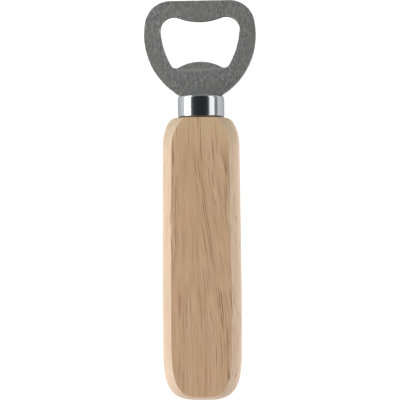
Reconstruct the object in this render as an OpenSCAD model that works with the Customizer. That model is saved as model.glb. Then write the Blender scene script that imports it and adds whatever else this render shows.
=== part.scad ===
// Bar bottle opener: a stamped steel head set in a wooden handle behind a drawn ferrule.
// It lies on its back: +Y runs along the length towards the head, +Z out of the front face,
// and the origin is the middle of the footprint on the surface that it lies on.

/* [Handle] */
// Length of the part of the handle that shows below the ferrule
handle_len = 109.2; // [95:0.1:120]
// Greatest width of the handle
handle_w = 30.7; // [28:0.1:34]
// How much narrower the handle is at the neck than at its fullest
handle_taper = 1; // [0:0.1:2]
// Thickness of the handle, between its flat back and front
handle_t = 18.5; // [18.2:0.1:22]
// Width of the chamfer down each long side
chamfer_w = 3.5; // [2:0.1:4.5]
// Depth of that chamfer, from the flat face to the side
chamfer_d = 3.4; // [2:0.1:4.5]
// How far the flat faces stop short of the handle's end
end_bevel = 1.8; // [0.5:0.1:3]
// How far the flat faces stop short of the neck
neck_bevel = 0.1; // [0.1:0.1:1]

/* [Ferrule] */
// Outside diameter of the ferrule
ferrule_d = 18.2; // [17:0.1:18.2]
// Length of the ferrule
ferrule_len = 8.8; // [8:0.1:12]
// Thickness of the drawn sheet
ferrule_wall = 0.8; // [0.5:0.1:1]
// Radius of the ferrule's top edge
ferrule_edge_r = 1.2; // [1.1:0.1:2]

/* [Head] */
// Length of the head above the ferrule
head_len = 37; // [35:0.5:39]
// Greatest width of the head
head_w = 43.7; // [42:0.1:46]
// Thickness of the stamped plate
plate_t = 3; // [2.5:0.1:3.5]
// Radius of the two long sides
side_r = 27.3; // [26:0.1:30]
// Radius of the two top corners
corner_r = 10; // [8:0.5:11]
// Distance from the top edge down to the widest place
widest_drop = 13.3; // [12.5:0.1:14.5]
// Width of the tang inside the handle
tang_w = 10; // [8:0.5:11]
// Length of the tang below the head
tang_len = 32; // [26:1:40]

/* [Cap opening] */
// Greatest width of the opening
opening_w = 30.8; // [29.6:0.1:32]
// Radius of the opening's two sides
opening_side_r = 31.6; // [28:0.2:36]
// How far the sides lean inwards where they leave the upper corners, in degrees
opening_lean = 4.5; // [2:0.5:7]
// Distance from the top edge down to the tip of the tongue
tongue_drop = 8.1; // [7.7:0.1:8.7]
// Distance from the top edge down to the top of each corner of the opening
lobe_drop = 6.2; // [5.8:0.1:6.8]
// Radius of the opening's two upper corners
lobe_r = 5.2; // [4.8:0.1:5.5]
// Distance from the top edge down to the crown of the opening's lower edge
web_drop = 23.8; // [23:0.1:25]
// Radius of the opening's lower edge, which bows upwards
web_r = 17.2; // [16:0.1:19]
// Radius of the opening's two lower corners
web_corner_r = 2.1; // [1.6:0.1:2.4]

/* [Hidden] */

$fn = 96;
arc_step = 3;          // degrees of arc between two points of an outline
cap_points = 22;       // points round each quarter of the handle's outline
past = 1;              // how far a cut runs past what it cuts

// Places along the length and through the thickness
top_y = (handle_len + ferrule_len + head_len) / 2;
bottom_y = -top_y;
neck_y = bottom_y + handle_len;
head_y = neck_y + ferrule_len;
mid_z = handle_t / 2;
plate_z = mid_z - plate_t / 2;

// The handle's rounded ends are superellipses: how far each reaches along the handle, and its
// exponents across and along
end_reach = 40;
end_across = 3.1;
end_along = 7.2;
neck_reach = 10.5;
neck_across = 2.4;
neck_along = 1.75;
neck_half_w = 9.2;     // half the outline's width where it meets the ferrule
face_end_reach = 32;
face_end_across = 3.1;
face_end_along = 5;
face_neck_reach = 12.5;
face_neck_across = 1.1;
face_neck_along = 2.3;
face_neck_half_w = 6.2;

// Fit of the spigot, the tang and their adhesive
spigot_r = ferrule_d / 2 - ferrule_wall;
spigot_gap = 0.3;      // between the spigot's tip and the closed end of the ferrule
spigot_len = ferrule_len - ferrule_wall - spigot_gap;
spigot_chamfer = 1;
spigot_root = 6;       // how far the spigot is carried back into the handle
slot_play = 0.2;       // clearance all round the tang where it passes through the ferrule
socket_play_x = 0.5;   // adhesive down each edge of the tang
socket_play_z = 0.3;   // adhesive over each face of the tang
socket_play_y = 1.5;   // adhesive below the tang's end
key_r = 1.2;           // notches in the tang that key it into the adhesive
key_pitch = 7;
key_first = 13;        // distance of the first pair of notches below the head

// Points on an arc about c, from one bearing up to another, where the next stretch begins
function arc(c, r, from, to) =
    let (n = ceil(abs(to - from) / arc_step))
    [for (i = [0 : n - 1]) let (a = from + (to - from) * i / n) c + r * [cos(a), sin(a)]];

// Bearing of point b seen from point a
function bearing(a, b) = atan2(b[1] - a[1], b[0] - a[0]);

// Where circles about p and q cross, on the left of the way from p to q
function crossing(p, rp, q, rq) =
    let (d = norm(q - p), along = (d * d + rp * rp - rq * rq) / (2 * d), u = (q - p) / d)
    p + along * u + sqrt(rp * rp - along * along) * [-u[1], u[0]];

// A half outline on +X, closed by its own mirror image
function both_sides(right) =
    concat(right, [for (i = [len(right) - 1 : -1 : 0]) if (right[i][0] > 0) [-right[i][0], right[i][1]]]);

// The head's arcs, measured from the middle of its top edge
side_c = [head_w / 2 - side_r, -widest_drop];
corner_c = [side_c[0] + sqrt(pow(side_r - corner_r, 2) - pow(corner_r - widest_drop, 2)), -corner_r];
foot_bearing = -asin((head_len - widest_drop) / side_r);
lobe_c = [opening_w / 2 - lobe_r, -lobe_drop - lobe_r];
tip_rise = -tongue_drop - lobe_c[1];
tongue_r = (pow(lobe_c[0], 2) + pow(tip_rise, 2) - pow(lobe_r, 2)) / (2 * (lobe_r - tip_rise));
tongue_c = [0, tongue_r - tongue_drop];
flank_c = lobe_c - (opening_side_r - lobe_r) * [cos(opening_lean), -sin(opening_lean)];
web_c = [0, -web_drop - web_r];
web_corner_c = crossing(flank_c, opening_side_r - web_corner_r, web_c, web_r + web_corner_r);

// Round-cornered outline of the head, down to where it stands on the ferrule
function head_outline() = both_sides(concat(
    arc(corner_c, corner_r, 90, bearing(side_c, corner_c)),
    arc(side_c, side_r, bearing(side_c, corner_c), foot_bearing),
    [side_c + side_r * [cos(foot_bearing), sin(foot_bearing)]]));

// The opening: tongue, upper corner, side, lower corner and the bowed lower edge
function opening_outline() = both_sides(concat(
    arc(tongue_c, tongue_r, -90, bearing(tongue_c, lobe_c)),
    arc(lobe_c, lobe_r, bearing(lobe_c, tongue_c), -opening_lean),
    arc(flank_c, opening_side_r, -opening_lean, bearing(flank_c, web_corner_c)),
    arc(web_corner_c, web_corner_r, bearing(flank_c, web_corner_c), bearing(web_corner_c, web_c)),
    arc(web_c, web_r, bearing(web_c, web_corner_c), 90),
    [[0, -web_drop]]));

// A quarter of a superellipse from the side of the handle (t = 0) to its end (t = 90)
function cap(reach, wide, narrow, across, along, t) =
    [narrow + (wide - narrow) * pow(cos(t), 2 / across), reach * pow(sin(t), 2 / along)];

// The handle's outline, drawn in by side, end and neck for the flat faces
function handle_outline(side, end, neck, e, n) =
    let (wide = handle_w / 2 - side, slim = wide - handle_taper / 2)
    both_sides(concat(
        [for (i = [cap_points : -1 : 0])
            let (p = cap(e[0], wide, 0, e[1], e[2], 90 * i / cap_points))
            [p[0], bottom_y + end + e[0] - p[1]]],
        [for (i = [0 : cap_points])
            let (p = cap(n[0], slim, n[3], n[1], n[2], 90 * i / cap_points))
            [p[0], neck_y - neck - n[0] + p[1]]]));

// Turns a shape made along +Z so that it runs along +Y on the handle's axis, from the height y
module along_y(y) {
    translate([0, y, mid_z]) rotate([-90, 0, 0]) children();
}

// Half section of a round cup with a rounded outer edge, closed end up
module cup_section(r, h, edge) {
    square([r, h - edge]);
    square([r - edge, h]);
    translate([r - edge, h - edge]) circle(edge);
}

// A flat box about the axis, from y up to y + length
module flat_box(w, y, length, t) {
    translate([-w / 2, y, mid_z - t / 2]) cube([w, length, t]);
}

// The tang, with notches down both edges
module tang() {
    difference() {
        flat_box(tang_w, head_y - tang_len, tang_len + past, plate_t);
        for (side = [-1, 1], y = [head_y - key_first : -key_pitch : head_y - tang_len + key_r])
            translate([side * tang_w / 2, y, 0]) cylinder(r = key_r, h = handle_t);
    }
}

// The hole in the handle that takes the tang
module socket(extra) {
    length = tang_len - ferrule_wall - spigot_gap + socket_play_y;
    flat_box(tang_w + 2 * socket_play_x, head_y - tang_len - socket_play_y, length + extra,
        plate_t + 2 * socket_play_z);
}

// Stamped stainless head in one piece with its tang
module opener_head() {
    color("dimgray") {
        translate([0, top_y, plate_z]) linear_extrude(plate_t)
            difference() {
                polygon(head_outline());
                polygon(opening_outline());
            }
        tang();
    }
}

// Drawn and plated cup over the neck of the handle, slotted for the tang
module ferrule() {
    color("silver") difference() {
        along_y(neck_y) rotate_extrude() difference() {
            cup_section(ferrule_d / 2, ferrule_len, ferrule_edge_r);
            cup_section(spigot_r, ferrule_len - ferrule_wall, ferrule_edge_r - ferrule_wall);
        }
        flat_box(tang_w + 2 * slot_play, head_y - ferrule_len / 2, ferrule_len, plate_t + 2 * slot_play);
    }
}

// Hardwood handle, chamfered front and back, with a turned spigot and the tang's socket
module handle() {
    color("burlywood") difference() {
        union() {
            hull() {
                translate([0, 0, chamfer_d]) linear_extrude(handle_t - 2 * chamfer_d)
                    polygon(handle_outline(0, 0, 0, [end_reach, end_across, end_along],
                        [neck_reach, neck_across, neck_along, neck_half_w]));
                linear_extrude(handle_t)
                    polygon(handle_outline(chamfer_w, end_bevel, neck_bevel,
                        [face_end_reach, face_end_across, face_end_along],
                        [face_neck_reach, face_neck_across, face_neck_along, face_neck_half_w]));
            }
            along_y(neck_y - spigot_root)
                cylinder(r = spigot_r, h = spigot_root + spigot_len - spigot_chamfer);
            along_y(neck_y + spigot_len - spigot_chamfer)
                cylinder(r1 = spigot_r, r2 = spigot_r - spigot_chamfer, h = spigot_chamfer);
        }
        socket(past);
    }
}

// Cured adhesive that fills the socket round the tang
module tang_adhesive() {
    color("khaki") difference() {
        socket(0);
        tang();
    }
}

opener_head();
ferrule();
handle();
tang_adhesive();
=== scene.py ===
"""Looks of the bar bottle opener: brushed steel head, bright ferrule and oiled hardwood handle."""
import math

import bmesh
import bpy
from mathutils import Euler, Matrix, Vector, noise


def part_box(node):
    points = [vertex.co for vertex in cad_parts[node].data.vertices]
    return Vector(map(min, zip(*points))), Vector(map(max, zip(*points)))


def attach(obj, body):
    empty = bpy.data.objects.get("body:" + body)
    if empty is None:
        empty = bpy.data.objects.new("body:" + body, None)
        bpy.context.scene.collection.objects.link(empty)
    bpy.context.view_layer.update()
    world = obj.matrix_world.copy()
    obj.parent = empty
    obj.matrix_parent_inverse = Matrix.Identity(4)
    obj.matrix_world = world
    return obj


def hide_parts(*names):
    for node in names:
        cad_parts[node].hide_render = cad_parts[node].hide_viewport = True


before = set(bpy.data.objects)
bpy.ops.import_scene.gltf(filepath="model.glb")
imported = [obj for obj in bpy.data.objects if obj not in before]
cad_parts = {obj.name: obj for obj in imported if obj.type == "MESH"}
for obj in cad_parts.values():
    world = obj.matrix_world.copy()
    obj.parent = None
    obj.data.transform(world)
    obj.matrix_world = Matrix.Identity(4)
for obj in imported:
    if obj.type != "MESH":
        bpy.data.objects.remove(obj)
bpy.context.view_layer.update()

MM = 0.001

# ---------------------------------------------------------------- places, in mm, from the frame

head_low, head_high = (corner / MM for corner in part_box("opener_head"))
cup_low, cup_high = (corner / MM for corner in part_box("ferrule"))
wood_low, wood_high = (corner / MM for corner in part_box("handle"))

TOP_Y = head_high.y
FOOT_Y = cup_high.y
NECK_Y = cup_low.y
END_Y = wood_low.y
THICKNESS = wood_high.z
MID_Z = THICKNESS / 2
HEAD_LENGTH = TOP_Y - FOOT_Y
TANG_END = head_low.y
CUP_R = cup_high.x
SPIGOT_TOP = wood_high.y

# Head, measured from the middle of its top edge
SIDE_R = 27.3
CORNER_R = 10.0
WIDEST_DROP = 13.3
OPENING_HALF = 15.4
OPENING_SIDE_R = 31.6
OPENING_LEAN = 4.5
TONGUE_DROP = 8.1
LOBE_DROP = 6.2
LOBE_R = 5.2
WEB_DROP = 23.8
WEB_R = 17.2
WEB_CORNER_R = 2.1
LIP_LINE_DROP = 26.9   # pressed line across the root of the lower lip
LIP_LINE_TILT = 0.025
TANG_HALF = 5.0
KEY_R = 1.2
KEY_FIRST = 13.0
KEY_PITCH = 7.0
FRONT_ROUND = 0.15
BACK_ROUND = 0.12
ARC_STEP = 2.0
HEAD_SHIFT = -0.2      # the plate sits a little to the left in its slot
HEAD_LEAN = 0.2        # and leans that way, in degrees

# Ferrule
CUP_WALL = 0.8
CUP_EDGE_R = 1.2
CUP_LIP = (0.6, 1.1)   # rounding of the ferrule's mouth, across the wall and along it
CUP_GAP = 0.15         # how far the mouth stands off the wood
SLOT_HALF = (5.2, 1.7)
CUP_SIDES = 160

# Handle. A rounded end is a superellipse: how far it reaches along the handle, its exponents
# across and along, and for the neck half its width where it meets the ferrule
WOOD_HALF = wood_high.x
WOOD_TAPER_HALF = 0.5
END_CAP = (40.0, 3.1, 7.2)
NECK_CAP = (10.5, 2.4, 1.75, 9.2)
FACE_END_CAP = (32.0, 3.1, 5.0)
FACE_NECK_CAP = (12.5, 1.1, 2.3, 6.2)
CHAMFER_W = 3.5
CHAMFER_D = 3.4
END_BEVEL = 1.8
NECK_BEVEL = 0.1
FACE_SOFT = 0.45       # how far the rounding of the flat face's edge reaches
SIDE_SOFT = 2.4        # how far the rounding of the side's edge reaches
SPIGOT_R = CUP_R - CUP_WALL
SPIGOT_ROOT = 6.0      # how far the spigot is carried back into the handle
SPIGOT_CHAMFER = 1.0
SPIGOT_SIDES = 64
SOCKET_HALF = (5.5, 1.8)
SOCKET_BELOW_TANG = 1.5
WAVE = 0.05            # hand sanding takes off up to this much
WAVE_LENGTH = 14.0
FLAT = 0.98            # a face whose normal's z is above this lies flat
WOOD_SHARP = 40.0      # edges sharper than this many degrees stay sharp


# ---------------------------------------------------------------- outlines

def arc(centre, radius, start, end):
    """Points on an arc, in degrees, up to where the next stretch begins."""
    count = math.ceil(abs(end - start) / ARC_STEP)
    angles = [math.radians(start + (end - start) * i / count) for i in range(count)]
    return [Vector((centre[0] + radius * math.cos(a), centre[1] + radius * math.sin(a))) for a in angles]


def bearing(a, b):
    return math.degrees(math.atan2(b[1] - a[1], b[0] - a[0]))


def crossing(p, p_radius, q, q_radius):
    """Where two circles cross, on the left of the way from p to q."""
    way = q - p
    along = (way.length_squared + p_radius ** 2 - q_radius ** 2) / (2 * way.length)
    u = way.normalized()
    return p + along * u + math.sqrt(p_radius ** 2 - along ** 2) * Vector((-u.y, u.x))


def both_sides(right):
    """A half outline on +X, closed by its own mirror image."""
    return right + [Vector((-p.x, p.y)) for p in reversed(right) if p.x > 1e-6]


def head_outlines():
    """The head with its tang, and the cap opening, both clockwise from the top."""
    side = Vector((head_high.x - SIDE_R, -WIDEST_DROP))
    corner_x = side.x + math.sqrt((SIDE_R - CORNER_R) ** 2 - (CORNER_R - WIDEST_DROP) ** 2)
    corner = Vector((corner_x, -CORNER_R))
    foot = -math.degrees(math.asin((HEAD_LENGTH - WIDEST_DROP) / SIDE_R))
    turn = bearing(side, corner)
    tang_end = TANG_END - TOP_Y
    outer = arc(corner, CORNER_R, 90, turn) + arc(side, SIDE_R, turn, foot)
    foot_angle = math.radians(foot)
    outer.append(side + SIDE_R * Vector((math.cos(foot_angle), math.sin(foot_angle))))
    outer.append(Vector((TANG_HALF, -HEAD_LENGTH)))
    key = -HEAD_LENGTH - KEY_FIRST
    while key > tang_end + KEY_R:
        outer += arc((TANG_HALF, key), KEY_R, 90, 270) + [Vector((TANG_HALF, key - KEY_R))]
        key -= KEY_PITCH
    outer.append(Vector((TANG_HALF, tang_end)))

    lobe = Vector((OPENING_HALF - LOBE_R, -LOBE_DROP - LOBE_R))
    rise = -TONGUE_DROP - lobe.y
    tongue_r = (lobe.x ** 2 + rise ** 2 - LOBE_R ** 2) / (2 * (LOBE_R - rise))
    tongue = Vector((0, tongue_r - TONGUE_DROP))
    lean = math.radians(OPENING_LEAN)
    flank = lobe - (OPENING_SIDE_R - LOBE_R) * Vector((math.cos(lean), -math.sin(lean)))
    web = Vector((0, -WEB_DROP - WEB_R))
    low = crossing(flank, OPENING_SIDE_R - WEB_CORNER_R, web, WEB_R + WEB_CORNER_R)
    opening = arc(tongue, tongue_r, -90, bearing(tongue, lobe))
    opening += arc(lobe, LOBE_R, bearing(lobe, tongue), -OPENING_LEAN)
    opening += arc(flank, OPENING_SIDE_R, -OPENING_LEAN, bearing(flank, low))
    opening += arc(low, WEB_CORNER_R, bearing(flank, low), bearing(low, web))
    opening += arc(web, WEB_R, bearing(web, low), 90)
    opening.append(Vector((0, -WEB_DROP)))
    return both_sides(outer), both_sides(opening)


def inset(points, distance):
    """A clockwise outline drawn in by a distance, or let out if that is below 0."""
    moved = []
    for i, p in enumerate(points):
        before = (p - points[i - 1]).normalized()
        after = (points[(i + 1) % len(points)] - p).normalized()
        n1, n2 = Vector((before.y, -before.x)), Vector((after.y, -after.x))
        moved.append(p + distance * (n1 + n2) / (1 + n1.dot(n2)))
    return moved


def cap(reach, wide, narrow, across, along, count):
    """A quarter superellipse from the side to the end, at equal steps of its normal's angle."""
    span = wide - narrow
    points = []
    for i in range(count + 1):
        goal = math.radians(90 * i / count)
        low, high = 0.0, math.pi / 2
        for _ in range(50):
            t = (low + high) / 2
            u, v = math.cos(t) ** (2 / across), math.sin(t) ** (2 / along)
            slope = math.atan2(along / reach * v ** (along - 1), across / span * u ** (across - 1))
            low, high = (t, high) if slope < goal else (low, t)
        u, v = math.cos(low) ** (2 / across), math.sin(low) ** (2 / along)
        points.append((narrow + span * u, reach * v))
    return points


def handle_outline(side, end, neck, end_cap, neck_cap):
    """The handle's outline from the middle of its end, up the right side, and down the left."""
    wide = WOOD_HALF - side
    slim = wide - WOOD_TAPER_HALF
    low_cap = cap(end_cap[0], wide, 0.0, end_cap[1], end_cap[2], 36)
    high_cap = cap(neck_cap[0], slim, neck_cap[3], neck_cap[1], neck_cap[2], 24)
    right = [Vector((x, END_Y + end + end_cap[0] - y)) for x, y in reversed(low_cap)]
    left_off = [Vector((x, NECK_Y - neck - neck_cap[0] + y)) for x, y in high_cap]
    steps = 24
    right += [right[-1].lerp(left_off[0], i / steps) for i in range(1, steps)]
    right += left_off
    steps = 6
    right += [Vector((right[-1].x * (1 - i / steps), right[-1].y)) for i in range(1, steps + 1)]
    return both_sides(right)


def soften(corners, reaches, steps):
    """The roundings at the inner corners of a polyline, each over its own reach."""
    line = []
    for before, corner, after, reach in zip(corners, corners[1:], corners[2:], reaches):
        start = corner + (before - corner).normalized() * reach
        end = corner + (after - corner).normalized() * reach
        for i in range(steps + 1):
            t = i / steps
            line.append((1 - t) ** 2 * start + 2 * t * (1 - t) * corner + t ** 2 * end)
    return line


# ---------------------------------------------------------------- mesh tools

def ring(bm, points):
    return [bm.verts.new(Vector(p) * MM) for p in points]


def bridge(bm, a, b):
    for i in range(len(a)):
        j = (i + 1) % len(a)
        bm.faces.new((a[i], a[j], b[j], b[i]))


def edges_of(bm, loop):
    return [bm.edges.get((loop[i], loop[(i + 1) % len(loop)])) or
            bm.edges.new((loop[i], loop[(i + 1) % len(loop)])) for i in range(len(loop))]


def fill(bm, *loops):
    """Triangles between closed loops that lie in one plane."""
    edges = [e for loop in loops for e in edges_of(bm, loop)]
    bmesh.ops.triangle_fill(bm, edges=edges, use_beauty=True)


def finish_mesh(bm, name, sharp_angle=35.0):
    bmesh.ops.recalc_face_normals(bm, faces=bm.faces)
    mesh = bpy.data.meshes.new(name)
    bm.to_mesh(mesh)
    bm.free()
    return finish_object(mesh, name, sharp_angle)


def finish_object(mesh, name, sharp_angle):
    mesh.shade_smooth()
    mesh.set_sharp_from_angle(angle=math.radians(sharp_angle))
    piece = bpy.data.objects.new(name, mesh)
    bpy.context.scene.collection.objects.link(piece)
    return piece


def cut(mesh_object, other, operation):
    """Applies one exact boolean and throws the other object away."""
    modifier = mesh_object.modifiers.new(operation, "BOOLEAN")
    modifier.operation = operation
    modifier.object = other
    modifier.solver = "EXACT"
    bpy.context.view_layer.update()
    evaluated = mesh_object.evaluated_get(bpy.context.evaluated_depsgraph_get())
    result = bpy.data.meshes.new_from_object(evaluated)
    mesh_object.modifiers.clear()
    mesh_object.data = result
    bpy.data.objects.remove(other)


def even_normals(piece):
    """Lets the large flat faces set the normals, so the small roundings shade cleanly."""
    modifier = piece.modifiers.new("even_normals", "WEIGHTED_NORMAL")
    modifier.weight = 90
    modifier.keep_sharp = True


def place(piece, node, slot, material):
    piece.data.materials.clear()
    piece.data.materials.append(material)
    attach(piece, "root")
    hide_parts(node)


# ---------------------------------------------------------------- pieces

def make_head():
    outer, opening = head_outlines()
    half = (head_high.z - head_low.z) / 2
    section = []
    for i in range(5):
        a = math.radians(90 * i / 4)
        section.append((BACK_ROUND * (1 - math.sin(a)), -half + BACK_ROUND * (1 - math.cos(a))))
    for i in range(6):
        a = math.radians(90 * i / 5)
        section.append((FRONT_ROUND * (1 - math.cos(a)), half - FRONT_ROUND * (1 - math.sin(a))))
    bm = bmesh.new()
    rims = []
    for outline, way in ((outer, 1), (opening, -1)):
        rows = []
        for d, z in section:
            rows.append(ring(bm, [(p.x, TOP_Y + p.y, MID_Z + z) for p in inset(outline, way * d)]))
        for a, b in zip(rows, rows[1:]):
            bridge(bm, a, b)
        rims.append(rows)
    fill(bm, rims[0][0], rims[1][0])
    fill(bm, rims[0][-1], rims[1][-1])
    set_by_hand(bm)
    piece = finish_mesh(bm, "head_plate")
    even_normals(piece)
    return piece


def set_by_hand(bm):
    """Moves the head within its slot's play, about the place where it stands on the ferrule."""
    foot = Vector((0, FOOT_Y, 0)) * MM
    turn = Matrix.Rotation(math.radians(HEAD_LEAN), 4, "Z")
    about_foot = Matrix.Translation(foot) @ turn @ Matrix.Translation(-foot)
    bmesh.ops.transform(bm, matrix=about_foot, verts=bm.verts)
    bmesh.ops.translate(bm, vec=Vector((HEAD_SHIFT, 0, 0)) * MM, verts=bm.verts)


def lathe(bm, section, sides):
    """Rows of points round the handle's axis, from (radius, y) pairs."""
    rows = []
    for radius, y in section:
        turns = [2 * math.pi * i / sides for i in range(sides)]
        rows.append(ring(bm, [(radius * math.sin(a), y, MID_Z + radius * math.cos(a)) for a in turns]))
    for a, b in zip(rows, rows[1:]):
        bridge(bm, a, b)
    return rows


def slot_ring(bm, half, y):
    corners = ((-1, -1), (1, -1), (1, 1), (-1, 1))
    return ring(bm, [(sx * half[0], y, MID_Z + sz * half[1]) for sx, sz in corners])


def quarter(steps):
    """Angles from 0 to 90 degrees, in radians."""
    return [math.radians(90 * i / steps) for i in range(steps + 1)]


def ferrule_section():
    """Half section of the cup, as (radius, y), from the closed end down the wall and back inside."""
    inner_r = CUP_R - CUP_WALL
    inner_edge = CUP_EDGE_R - CUP_WALL
    mouth_y = NECK_Y + CUP_GAP
    wall_top = FOOT_Y - CUP_EDGE_R
    wall_end = mouth_y + CUP_LIP[1]
    inner_top = FOOT_Y - CUP_WALL - inner_edge
    edge = [(CUP_R - CUP_EDGE_R * (1 - math.sin(a)), wall_top + CUP_EDGE_R * math.cos(a))
            for a in quarter(16)]
    wall = [(CUP_R, wall_top + (wall_end - wall_top) * t) for t in (0.25, 0.5, 0.75)]
    lip = [(CUP_R - CUP_LIP[0] * (1 - math.cos(a)), wall_end - CUP_LIP[1] * math.sin(a))
           for a in quarter(8)]
    inside = [(inner_r - inner_edge * (1 - math.cos(a)), inner_top + inner_edge * math.sin(a))
              for a in quarter(6)]
    return edge + wall + lip + [(inner_r, mouth_y)] + inside


def make_ferrule():
    bm = bmesh.new()
    rows = lathe(bm, ferrule_section(), CUP_SIDES)
    slot = slot_ring(bm, SLOT_HALF, FOOT_Y)
    under = slot_ring(bm, SLOT_HALF, FOOT_Y - CUP_WALL)
    bridge(bm, slot, under)
    fill(bm, rows[0], slot)
    fill(bm, rows[-1], under)
    piece = finish_mesh(bm, "ferrule_cup")
    even_normals(piece)
    return piece


def handle_block():
    """The handle without its spigot and socket, sanded a little uneven away from the flats."""
    full = handle_outline(0.0, 0.0, 0.0, END_CAP, NECK_CAP)
    face = handle_outline(CHAMFER_W, END_BEVEL, NECK_BEVEL, FACE_END_CAP, FACE_NECK_CAP)
    corners = [Vector(c) for c in (
        (2 * CHAMFER_W, 0), (CHAMFER_W, 0), (0, CHAMFER_D),
        (0, THICKNESS - CHAMFER_D), (CHAMFER_W, THICKNESS), (2 * CHAMFER_W, THICKNESS))]
    section = soften(corners, (FACE_SOFT, SIDE_SOFT, SIDE_SOFT, FACE_SOFT), 6)
    bm = bmesh.new()
    rows = []
    for d, z in section:
        rows.append(ring(bm, [(*(a + (b - a) * d / CHAMFER_W), z) for a, b in zip(full, face)]))
    for a, b in zip(rows, rows[1:]):
        bridge(bm, a, b)
    bm.faces.new(rows[0])
    bm.faces.new(rows[-1])
    bmesh.ops.recalc_face_normals(bm, faces=bm.faces)
    bm.normal_update()
    for v in bm.verts:
        depth = 0.5 + 0.5 * noise.noise(v.co / (WAVE_LENGTH * MM))
        if abs(v.normal.z) < FLAT:
            v.co -= v.normal * WAVE * MM * depth
    return finish_mesh(bm, "handle_body", WOOD_SHARP)


def spigot_tool():
    bm = bmesh.new()
    section = [
        (SPIGOT_R, NECK_Y - SPIGOT_ROOT),
        (SPIGOT_R, SPIGOT_TOP - SPIGOT_CHAMFER),
        (SPIGOT_R - SPIGOT_CHAMFER, SPIGOT_TOP)]
    rows = lathe(bm, section, SPIGOT_SIDES)
    bm.faces.new(rows[0])
    bm.faces.new(rows[-1])
    return finish_mesh(bm, "spigot")


def socket_tool():
    bm = bmesh.new()
    low = slot_ring(bm, SOCKET_HALF, TANG_END - SOCKET_BELOW_TANG)
    high = slot_ring(bm, SOCKET_HALF, SPIGOT_TOP + 1)
    bridge(bm, low, high)
    bm.faces.new(low)
    bm.faces.new(high)
    return finish_mesh(bm, "socket")


def make_handle():
    body = handle_block()
    cut(body, spigot_tool(), "UNION")
    cut(body, socket_tool(), "DIFFERENCE")
    body.data.shade_smooth()
    body.data.set_sharp_from_angle(angle=math.radians(WOOD_SHARP))
    even_normals(body)
    return body


# ---------------------------------------------------------------- materials

class Shade:
    """A material's node tree, with short calls for the nodes used here."""

    def __init__(self, name):
        self.material = bpy.data.materials.new(name)
        self.material.use_nodes = True
        self.tree = self.material.node_tree
        self.bsdf = self.tree.nodes["Principled BSDF"]
        position = self.add("ShaderNodeTexCoord").outputs["Object"]
        self.mm = self.vector("SCALE", position, scale=1 / MM)
        self.x, self.y, self.z = self.split(self.mm)

    def add(self, kind, inputs=(), **settings):
        node = self.tree.nodes.new(kind)
        for key, value in settings.items():
            setattr(node, key, value)
        for key, value in dict(inputs).items():
            self.feed(node.inputs[key], value)
        return node

    def feed(self, socket, value):
        if isinstance(value, bpy.types.NodeSocket):
            self.tree.links.new(value, socket)
        else:
            socket.default_value = value

    def split(self, vector):
        return self.add("ShaderNodeSeparateXYZ", {0: vector}).outputs[:3]

    def join(self, x, y, z):
        return self.add("ShaderNodeCombineXYZ", {0: x, 1: y, 2: z}).outputs[0]

    def vector(self, operation, a, b=None, scale=None):
        inputs = {0: a}
        if b is not None:
            inputs[1] = b
        if scale is not None:
            inputs["Scale"] = scale
        return self.add("ShaderNodeVectorMath", inputs, operation=operation).outputs[0]

    def calc(self, operation, a, b=0.0, clamp=False):
        return self.add("ShaderNodeMath", {0: a, 1: b}, operation=operation, use_clamp=clamp).outputs[0]

    def turned(self, degrees):
        """The place in mm, turned in the plane of the plate."""
        inputs = {"Vector": self.mm, "Angle": math.radians(degrees)}
        return self.add("ShaderNodeVectorRotate", inputs, rotation_type="Z_AXIS").outputs[0]

    def noise(self, at, stretch, detail=3.0, rough=0.5):
        """Noise from 0 to 1, at so many lumps a millimetre along each axis."""
        place = self.vector("MULTIPLY", at, stretch)
        inputs = {"Vector": place, "Scale": 1.0, "Detail": detail, "Roughness": rough}
        return self.add("ShaderNodeTexNoise", inputs).outputs["Fac"]

    def span(self, value, low, high, to_low=0.0, to_high=1.0, smooth=True):
        inputs = {"Value": value, "From Min": low, "From Max": high, "To Min": to_low, "To Max": to_high}
        kind = "SMOOTHSTEP" if smooth else "LINEAR"
        return self.add("ShaderNodeMapRange", inputs, interpolation_type=kind).outputs[0]

    def mix(self, share, a, b, blend="MIX"):
        node = self.add("ShaderNodeMix", data_type="RGBA", blend_type=blend)
        for socket, value in zip((node.inputs[0], node.inputs[6], node.inputs[7]), (share, a, b)):
            self.feed(socket, value)
        return node.outputs[2]

    def blend(self, share, a, b):
        """The number a where the share is 0, and b where it is 1."""
        return self.add("ShaderNodeMix", {0: share, 2: a, 3: b}, data_type="FLOAT").outputs[0]

    def bump(self, height, distance, strength=1.0, normal=None):
        inputs = {"Height": height, "Distance": distance * MM, "Strength": strength}
        if normal is not None:
            inputs["Normal"] = normal
        return self.add("ShaderNodeBump", inputs).outputs[0]


def display_to_linear(value):
    share = value / 255
    if value <= 10:
        return share / 12.92
    return ((share + 0.055) / 1.055) ** 2.4


def rgb(red, green, blue):
    """A colour from its 0 to 255 display values."""
    return (display_to_linear(red), display_to_linear(green), display_to_linear(blue), 1.0)


STEEL_LOW = rgb(181, 181, 181)
STEEL_HIGH = rgb(234, 234, 233)
STEEL_CLOUD = rgb(206, 206, 204)
STEEL_POLISHED = rgb(243, 243, 242)
# Painted shade for the plate's cut edges
STEEL_WALL_SHADE = rgb(92, 91, 89)
PLATING_LOW = rgb(168, 171, 174)
PLATING_HIGH = rgb(180, 182, 185)
GROWTH_DARK = rgb(181, 150, 114)
GROWTH_PALE = rgb(189, 159, 125)
WOOD_TINT = rgb(193, 154, 123)
WOOD_FIBRE = rgb(160, 126, 94)
# Painted sheen on the chamfers
WOOD_CHAMFER_SHEEN = rgb(190, 170, 149)
WOOD_ARRIS = rgb(214, 190, 162)
NECK_FLAT = rgb(189, 162, 126)
NECK_CHAMFER = rgb(160, 141, 108)
END_CHAMFER = rgb(208, 192, 176)
PORE = rgb(118, 76, 48)
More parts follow.
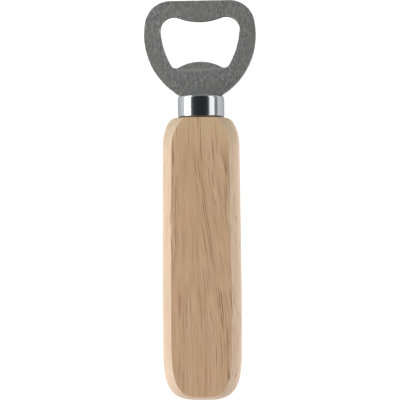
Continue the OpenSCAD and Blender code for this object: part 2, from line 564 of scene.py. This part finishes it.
# Painted shadow in the joint under the ferrule
PAINTED_SHADOW_UNDER_FERRULE = rgb(58, 42, 30)
EPOXY_PALE = rgb(206, 190, 148)
EPOXY_DARK = rgb(186, 168, 122)
WALL_SHADE_TINT = (0.12, 0.12, 0.12, 1.0)
WHITE = (1.0, 1.0, 1.0, 1.0)

# Lumps of noise a millimetre, across the opener, along it and through it
RIGHT_STREAKS = (2.6, 0.42, 2.6)
LEFT_STREAKS = (2.5, 0.36, 2.5)
STEEL_MOTTLE = (1.2, 1.0, 1.2)
STEEL_CLOUDS = (0.12, 0.05, 0.12)
PLATING_WEAR = (1.2, 3.0, 1.2)
PLATING_HAZE = (0.3, 0.3, 0.3)
WAVER = (0.06, 0.03, 0.06)
GROWTH = (0.35, 0.008, 0.15)
FIBRE = (2.2, 0.09, 2.2)
TINT = (0.16, 0.05, 0.16)
PORE_LINES = (2.5, 0.035, 2.5)
SHORT_DASHES = (1.3, 0.14, 1.3)
LONG_DASHES = (1.3, 0.09, 1.3)
PORE_CROWDS = (0.3, 0.02, 0.3)
EPOXY_CLOUDS = (0.5, 0.5, 0.5)

# The streaks of the brushing cross the plate's length at these angles, in degrees
RIGHT_TURN = -14
LEFT_TURN = 11

# How far the grain wanders, and where it drifts to the right, in mm
WAVER_REACH = 1.2
DRIFT_FROM = 30.0
DRIFT_TO = -60.0
DRIFT_REACH = 9.0
# The drifting grain takes over between these two places across the upper end of the flat
DRIFT_SIDE = (-8.5, -1.5)
FADE_FROM = 0.0        # the pores of the straight grain fade out between these places
FADE_TO = -25.0


def brushing(s):
    """Two sets of crossing streaks over a mottle, from 0 to 1."""
    right = s.noise(s.turned(RIGHT_TURN), RIGHT_STREAKS, 3.0, 0.6)
    left = s.noise(s.turned(LEFT_TURN), LEFT_STREAKS, 3.0, 0.6)
    mottle = s.noise(s.mm, STEEL_MOTTLE, 3.0, 0.6)
    streaks = s.calc("ADD", s.calc("MULTIPLY", right, 0.5), s.calc("MULTIPLY", left, 0.5))
    return s.calc("ADD", s.calc("MULTIPLY", streaks, 0.68), s.calc("MULTIPLY", mottle, 0.32))


def lip_line(s):
    """The line that the press has polished across the root of the lower lip."""
    line_y = s.calc("ADD", s.calc("MULTIPLY", s.x, LIP_LINE_TILT), TOP_Y - LIP_LINE_DROP)
    off_line = s.calc("ABSOLUTE", s.calc("SUBTRACT", s.y, line_y))
    off_middle = s.calc("ABSOLUTE", s.x)
    return s.calc("MULTIPLY", s.span(off_line, 1.0, 0.1), s.span(off_middle, 10.0, 8.0))


def painted_wall_shade(s):
    """1 on the edges that the press has cut, which are rough and coloured dark as painted shade, and 0
    on the two faces.
    """
    below_front = s.span(s.z, head_high.z - 0.02, head_high.z - 0.2)
    above_back = s.span(s.z, head_low.z + 0.02, head_low.z + 0.2)
    return s.calc("MULTIPLY", below_front, above_back)


def steel_material():
    s = Shade("brushed_plate")
    shade = brushing(s)
    clouds = s.span(s.noise(s.mm, STEEL_CLOUDS, 2.0), 0.35, 0.65)
    wall = painted_wall_shade(s)
    colour = s.mix(s.span(shade, 0.41, 0.59), STEEL_LOW, STEEL_HIGH)
    colour = s.mix(s.calc("MULTIPLY", clouds, 0.5), colour, STEEL_CLOUD)
    colour = s.mix(s.calc("MULTIPLY", lip_line(s), 0.6), colour, STEEL_POLISHED)
    # Painted shade: the cut edges get a dark colour here and a dark specular tint below
    colour = s.mix(wall, colour, STEEL_WALL_SHADE)
    s.feed(s.bsdf.inputs["Base Color"], colour)
    s.feed(s.bsdf.inputs["Specular Tint"], s.mix(wall, WHITE, WALL_SHADE_TINT))
    s.feed(s.bsdf.inputs["Roughness"], s.span(shade, 0.3, 0.7, 0.40, 0.50))
    s.feed(s.bsdf.inputs["Normal"], s.bump(shade, 0.03))
    s.bsdf.inputs["Metallic"].default_value = 1.0
    return s.material


def chrome_material():
    s = Shade("bright_plating")
    wear = s.noise(s.mm, PLATING_WEAR, 4.0, 0.6)
    haze = s.noise(s.mm, PLATING_HAZE, 3.0)
    s.feed(s.bsdf.inputs["Base Color"], s.mix(haze, PLATING_LOW, PLATING_HIGH))
    s.feed(s.bsdf.inputs["Roughness"], s.span(wear, 0.35, 0.75, 0.16, 0.21))
    s.feed(s.bsdf.inputs["Normal"], s.bump(haze, 0.004))
    s.bsdf.inputs["Metallic"].default_value = 1.0
    s.bsdf.inputs["Specular Tint"].default_value = (0.6, 0.6, 0.6, 1)
    return s.material


def grain_places(s):
    """The place in straight and in drifting grain, and the share of the drifting one.

    The grain runs straight up the left side, and drifts to the right lower down on the other.
    """
    waver = s.span(s.noise(s.mm, WAVER, 2.0), 0.0, 1.0, -WAVER_REACH, WAVER_REACH, False)
    across = s.calc("ADD", s.x, waver)
    drift = s.span(s.y, DRIFT_FROM, DRIFT_TO, 0.0, DRIFT_REACH)
    straight = s.join(across, s.y, s.z)
    drifting = s.join(s.calc("SUBTRACT", across, drift), s.y, s.z)
    share = s.span(s.calc("SUBTRACT", s.x, s.calc("MULTIPLY", drift, 0.6)), *DRIFT_SIDE)
    return straight, drifting, share


def pores(s, grain, dashes):
    """Open pores: thin dark dashes that follow one another along the grain."""
    line = s.noise(grain, PORE_LINES, 1.0)
    dash = s.noise(grain, dashes, 1.0)
    crowd = s.noise(grain, PORE_CROWDS, 2.0)
    depth = s.calc("MULTIPLY", s.span(line, 0.42, 0.34), s.span(dash, 0.40, 0.52))
    return s.calc("MULTIPLY", depth, s.span(crowd, 0.35, 0.6, 0.5, 0.95))


def open_pores(s, straight, drifting, share, chamfer):
    """The pores of the whole handle, half closed by the sanding of the chamfers."""
    faded = s.span(s.y, FADE_FROM, FADE_TO, 1.0, 0.5)
    upright = s.calc("MULTIPLY", pores(s, straight, SHORT_DASHES), faded)
    both = s.blend(share, upright, pores(s, drifting, LONG_DASHES))
    return s.calc("MULTIPLY", both, s.span(chamfer, 0.0, 1.0, 1.0, 0.5, False))


def wood_wear_and_sheen(s, colour, facing, chamfer):
    """Pales the chamfers with painted sheen, more so towards the sides, pales their arrises, and tones
    both ends.
    """
    height = s.calc("ABSOLUTE", s.calc("SUBTRACT", s.z, MID_Z))
    chamfer_sheen = s.span(height, THICKNESS / 2, THICKNESS / 2 - CHAMFER_D, 0.05, 0.5, False)
    arris = s.calc("MULTIPLY", s.span(facing, 0.99, 0.93, 0.0, 0.25), s.span(facing, 0.74, 0.8))
    # Painted sheen: the chamfers are coloured paler, more so towards the sides
    colour = s.mix(s.calc("MULTIPLY", chamfer, chamfer_sheen), colour, WOOD_CHAMFER_SHEEN)
    colour = s.mix(arris, colour, WOOD_ARRIS)
    # Next to the ferrule the flats are sanded paler and the chamfers have soiled
    near_neck = s.span(s.y, NECK_Y - 16, NECK_Y - 2)
    colour = s.mix(s.calc("MULTIPLY", near_neck, 0.7), colour, s.mix(chamfer, NECK_FLAT, NECK_CHAMFER))
    near_end = s.calc("MULTIPLY", s.span(s.y, END_Y + 22, END_Y + 10), chamfer)
    return s.mix(s.calc("MULTIPLY", near_end, 0.1), colour, END_CHAMFER)


def wood_material():
    s = Shade("hardwood")
    straight, drifting, share = grain_places(s)
    growth = s.blend(share, s.noise(straight, GROWTH, 2.0), s.noise(drifting, GROWTH, 2.0))
    fibre = s.blend(share, s.noise(straight, FIBRE, 3.0, 0.6), s.noise(drifting, FIBRE, 3.0, 0.6))
    tint = s.span(s.noise(straight, TINT, 2.0), 0.42, 0.62)
    normal = s.split(s.add("ShaderNodeNewGeometry").outputs["Normal"])
    facing = s.calc("ABSOLUTE", normal[2])
    chamfer = s.span(facing, 0.98, 0.8)
    open_grain = open_pores(s, straight, drifting, share, chamfer)

    colour = s.mix(s.span(growth, 0.3, 0.7), GROWTH_DARK, GROWTH_PALE)
    colour = s.mix(s.calc("MULTIPLY", tint, 0.4), colour, WOOD_TINT)
    colour = s.mix(s.span(fibre, 0.62, 0.35, 0.0, 0.5), colour, WOOD_FIBRE)
    # Wear and tones, with painted sheen on the chamfers
    colour = wood_wear_and_sheen(s, colour, facing, chamfer)
    colour = s.mix(s.calc("MULTIPLY", open_grain, 0.95), colour, PORE)
    # Painted shadow: a dark line on the wood where it meets the ferrule's mouth
    colour = s.mix(s.span(s.y, NECK_Y - 0.1, NECK_Y + 0.1), colour, PAINTED_SHADOW_UNDER_FERRULE)
    s.feed(s.bsdf.inputs["Base Color"], colour)

    rough = s.span(fibre, 0.3, 0.7, 0.38, 0.50)
    s.feed(s.bsdf.inputs["Roughness"], s.calc("ADD", rough, s.calc("MULTIPLY", open_grain, 0.25)))
    s.feed(s.bsdf.inputs["Specular IOR Level"], s.span(open_grain, 0.0, 1.0, 0.9, 0.1, False))
    relief = s.calc("SUBTRACT", s.calc("MULTIPLY", fibre, 0.25), open_grain)
    s.feed(s.bsdf.inputs["Normal"], s.bump(relief, 0.05))
    return s.material


def adhesive_material():
    s = Shade("cured_epoxy")
    cloud = s.noise(s.mm, EPOXY_CLOUDS, 3.0)
    s.feed(s.bsdf.inputs["Base Color"], s.mix(cloud, EPOXY_PALE, EPOXY_DARK))
    s.feed(s.bsdf.inputs["Roughness"], s.span(cloud, 0.3, 0.7, 0.35, 0.55))
    s.feed(s.bsdf.inputs["Normal"], s.bump(cloud, 0.05))
    return s.material


# ---------------------------------------------------------------- studio

CAMERA_HEIGHT = 0.5            # above the floor
CAMERA_SIDE = 0.024            # how far the camera stands to the right of the object
VIEW_WIDTH = 0.156             # what the frame takes in at the plate
CAMERA_ROLL = -0.42           # degrees
AIM = (-0.0007, -0.0001)       # the point on the plate's plane at the frame's centre
STRIP_REACH = 1.0              # how far off the strip lights stand
STRIP_LENGTH = 2.4
PLAIN = (1.0, 1.0, 1.0)
COOL = (1.0, 1.03, 1.15)

# Name, degrees from overhead, width, radiance, colour, whether it shows in reflections
STRIPS = (
    ("strip_left", -68.4, 0.625, 5.0, PLAIN, True),
    ("strip_right", 57.3, 0.49, 1.95, PLAIN, True),
    ("fill_right", 53.0, 0.49, 2.3, COOL, False),
)


def make_camera():
    camera = bpy.data.objects.new("camera", bpy.data.cameras.new("camera"))
    bpy.context.scene.collection.objects.link(camera)
    aim = Vector((*AIM, MID_Z * MM))
    camera.location = (CAMERA_SIDE, 0, CAMERA_HEIGHT)
    reach = (camera.location - aim).length
    camera.data.sensor_width = 36
    camera.data.lens = 36 * reach / VIEW_WIDTH
    camera.data.clip_start = 0.01
    back = (camera.location - aim).normalized()
    right = Vector((0, 1, 0)).cross(back).normalized()
    up = back.cross(right)
    turn = Matrix((right, up, back)).transposed()
    camera.rotation_euler = (turn @ Matrix.Rotation(math.radians(CAMERA_ROLL), 3, "Z")).to_euler()
    bpy.context.scene.camera = camera


def make_lights():
    for name, angle, width, radiance, colour, shows in STRIPS:
        light = bpy.data.lights.new(name, "AREA")
        light.shape = "RECTANGLE"
        light.size, light.size_y = width, STRIP_LENGTH
        light.color = colour
        light.energy = radiance * math.pi * width * STRIP_LENGTH
        strip = bpy.data.objects.new(name, light)
        bpy.context.scene.collection.objects.link(strip)
        a = math.radians(angle)
        strip.location = (STRIP_REACH * math.sin(a), 0, STRIP_REACH * math.cos(a))
        strip.rotation_euler = Euler((0, a, 0))
        strip.visible_camera = False
        strip.visible_glossy = shows


def make_world():
    world = bpy.data.worlds.new("studio")
    world.use_nodes = True
    bpy.context.scene.world = world
    tree = world.node_tree
    direction = tree.nodes.new("ShaderNodeTexCoord").outputs["Generated"]
    split = tree.nodes.new("ShaderNodeSeparateXYZ")
    tree.links.new(direction, split.inputs[0])
    height = tree.nodes.new("ShaderNodeMapRange")
    tree.links.new(split.outputs["Z"], height.inputs["Value"])
    for key, value in (("From Min", 0.1), ("From Max", 0.88), ("To Min", 0.3), ("To Max", 0.042)):
        height.inputs[key].default_value = value
    seen = tree.nodes.new("ShaderNodeLightPath").outputs["Is Camera Ray"]
    mix = tree.nodes.new("ShaderNodeMix")
    tree.links.new(seen, mix.inputs[0])
    tree.links.new(height.outputs[0], mix.inputs[2])
    mix.inputs[3].default_value = 0.95
    tree.links.new(mix.outputs[0], tree.nodes["Background"].inputs["Color"])


def make_floor():
    bm = bmesh.new()
    bmesh.ops.create_grid(bm, x_segments=1, y_segments=1, size=6.0)
    mesh = bpy.data.meshes.new("floor")
    bm.to_mesh(mesh)
    bm.free()
    floor = bpy.data.objects.new("floor", mesh)
    bpy.context.scene.collection.objects.link(floor)
    floor.location.z = -0.05 * MM
    s = Shade("floor_paper")
    s.bsdf.inputs["Base Color"].default_value = (0.3, 0.3, 0.3, 1)
    s.bsdf.inputs["Roughness"].default_value = 1.0
    s.bsdf.inputs["Specular IOR Level"].default_value = 0.0
    s.bsdf.inputs["Emission Color"].default_value = (1, 1, 1, 1)
    s.bsdf.inputs["Emission Strength"].default_value = 0.86
    mesh.materials.append(s.material)


make_camera()
make_lights()
make_world()
make_floor()
place(make_head(), "opener_head", "brushed_plate", steel_material())
place(make_ferrule(), "ferrule", "bright_plating", chrome_material())
place(make_handle(), "handle", "hardwood", wood_material())
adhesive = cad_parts["tang_adhesive"]
adhesive.data.materials.clear()
adhesive.data.materials.append(adhesive_material())
bpy.context.scene.view_settings.view_transform = "Standard"
